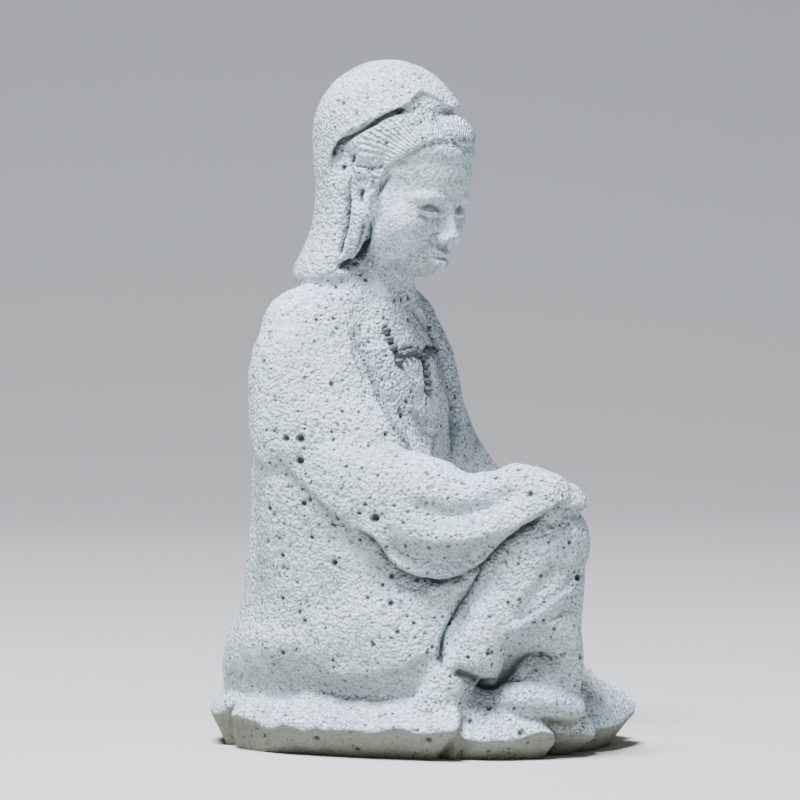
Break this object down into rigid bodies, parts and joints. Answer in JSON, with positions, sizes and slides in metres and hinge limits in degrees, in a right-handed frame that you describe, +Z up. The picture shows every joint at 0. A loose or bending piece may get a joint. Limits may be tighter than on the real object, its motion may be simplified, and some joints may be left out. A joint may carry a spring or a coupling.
{
  "type": "avalokitesvara statue",
  "caption": "Small cast-stone figure of Avalokitesvara in a hooded robe, seated at royal ease on a rough rock with one knee raised and a hand resting on it.",
  "frame": {"origin": "centre of the underside's outline, on the plane that the rock stands on", "axes": "+Z up through the hood; the figure faces -Y, with its right side towards -X"},
  "size_m": [0.0514, 0.0622, 0.1],
  "materials": {
    "cast_stone": "sandy, finely pitted cast stone, pale grey with a slight green tint"
  },
  "bodies": {
    "root": {"statue": "cast_stone"}
  },
  "joints": []
}
